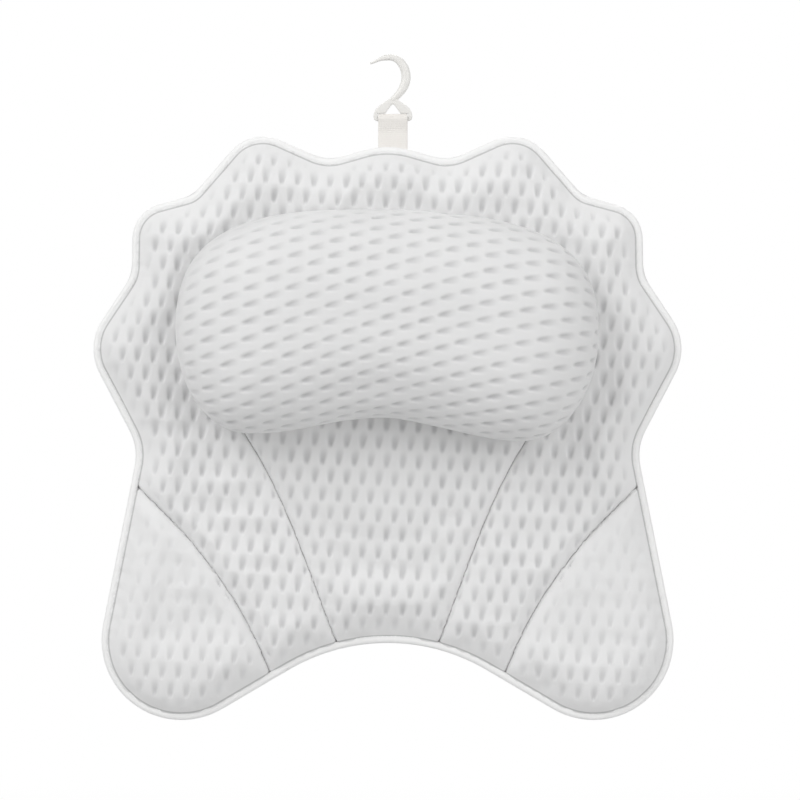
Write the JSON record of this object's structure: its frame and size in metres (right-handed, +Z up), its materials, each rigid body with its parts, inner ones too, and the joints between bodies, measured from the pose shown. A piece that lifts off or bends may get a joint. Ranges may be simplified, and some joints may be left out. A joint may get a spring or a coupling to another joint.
{
  "type": "bath pillow",
  "caption": "Scalloped air-mesh bath pillow with a kidney-shaped head cushion, folding lower lobes, suction cups behind and a hanging hook on a webbing loop.",
  "frame": {"origin": "on the wall plane that the suction cups' rims lie in, on the pad's middle line, near half its height", "axes": "+Z up towards the hook, +Y into the wall, so the pillow faces -Y, and +X to the viewer's right"},
  "size_m": [0.4194, 0.1069, 0.475],
  "materials": {
    "air_mesh": "matt knitted spacer mesh with a lattice of drop-shaped dimples",
    "head_mesh": "the same mesh turned a quarter and stretched over the cushion",
    "back_mesh": "plain fine mesh",
    "padding": "fibre wadding",
    "satin_tape": "satin binding tape",
    "webbing": "ivory ribbed webbing",
    "patch_cloth": "stitched cloth patch",
    "hook_plastic": "glossy moulded plastic",
    "soft_vinyl": "clear soft vinyl"
  },
  "bodies": {
    "pad": {"centre_front_panel": "air_mesh", "upper_front_panel": "air_mesh", "centre_core": "padding", "upper_core": "padding", "back_cover": "back_mesh", "top_binding": "satin_tape", "bottom_binding": "satin_tape", "head_pillow_front_cover": "head_mesh", "head_pillow_back_cover": "back_mesh", "head_pillow_core": "padding", "cup_patch_top": "patch_cloth", "cup_patch_upper_left": "patch_cloth", "cup_patch_upper_right": "patch_cloth", "cup_patch_waist_left": "patch_cloth", "cup_patch_waist_right": "patch_cloth"},
    "left_lobe": {"left_lobe_front_panel": "air_mesh", "left_lobe_core": "padding", "left_lobe_back_cover": "back_mesh", "left_lobe_binding": "satin_tape", "cup_patch_lobe_left": "patch_cloth"},
    "right_lobe": {"right_lobe_front_panel": "air_mesh", "right_lobe_core": "padding", "right_lobe_back_cover": "back_mesh", "right_lobe_binding": "satin_tape", "cup_patch_lobe_right": "patch_cloth"},
    "loop": {"hanging_loop": "webbing"},
    "hook": {"hanger_hook": "hook_plastic"},
    "cup_top": {"suction_cup_top": "soft_vinyl"},
    "cup_upper_left": {"suction_cup_upper_left": "soft_vinyl"},
    "cup_upper_right": {"suction_cup_upper_right": "soft_vinyl"},
    "cup_waist_left": {"suction_cup_waist_left": "soft_vinyl"},
    "cup_waist_right": {"suction_cup_waist_right": "soft_vinyl"},
    "cup_lobe_left": {"suction_cup_lobe_left": "soft_vinyl"},
    "cup_lobe_right": {"suction_cup_lobe_right": "soft_vinyl"}
  },
  "joints": [
    {"name": "left_lobe_fold", "type": "hinge", "parent": "pad", "child": "left_lobe", "pos_m": [-0.08106, -0.02485, -0.18098], "axis": [-0.5773, 0, 0.8165], "range_deg": [-20, 20], "stiffness_Nm_per_rad": 0.1},
    {"name": "right_lobe_fold", "type": "hinge", "parent": "pad", "child": "right_lobe", "pos_m": [0.08106, -0.02485, -0.18098], "axis": [-0.5773, 0, -0.8165], "range_deg": [-20, 20], "stiffness_Nm_per_rad": 0.1},
    {"name": "loop_fold", "type": "hinge", "parent": "pad", "child": "loop", "pos_m": [0.0038, -0.02485, 0.2041], "axis": [1, 0, 0], "range_deg": [-75, 75]},
    {"name": "hook_swing", "type": "hinge", "parent": "loop", "child": "hook", "pos_m": [0.0038, -0.02485, 0.2221], "axis": [1, 0, 0], "range_deg": [-60, 60]},
    {"name": "cup_top_turn", "type": "hinge", "parent": "pad", "child": "cup_top", "pos_m": [0, -0.012, 0.15012], "axis": [0, 1, 0], "continuous": true},
    {"name": "cup_upper_left_turn", "type": "hinge", "parent": "pad", "child": "cup_upper_left", "pos_m": [-0.126, -0.012, 0.11676], "axis": [0, 1, 0], "continuous": true},
    {"name": "cup_upper_right_turn", "type": "hinge", "parent": "pad", "child": "cup_upper_right", "pos_m": [0.126, -0.012, 0.11676], "axis": [0, 1, 0], "continuous": true},
    {"name": "cup_waist_left_turn", "type": "hinge", "parent": "pad", "child": "cup_waist_left", "pos_m": [-0.1386, -0.012, 0], "axis": [0, 1, 0], "continuous": true},
    {"name": "cup_waist_right_turn", "type": "hinge", "parent": "pad", "child": "cup_waist_right", "pos_m": [0.1386, -0.012, 0], "axis": [0, 1, 0], "continuous": true},
    {"name": "cup_lobe_left_turn", "type": "hinge", "parent": "left_lobe", "child": "cup_lobe_left", "pos_m": [-0.1449, -0.012, -0.15012], "axis": [0, 1, 0], "continuous": true},
    {"name": "cup_lobe_right_turn", "type": "hinge", "parent": "right_lobe", "child": "cup_lobe_right", "pos_m": [0.1449, -0.012, -0.15012], "axis": [0, 1, 0], "continuous": true}
  ]
}
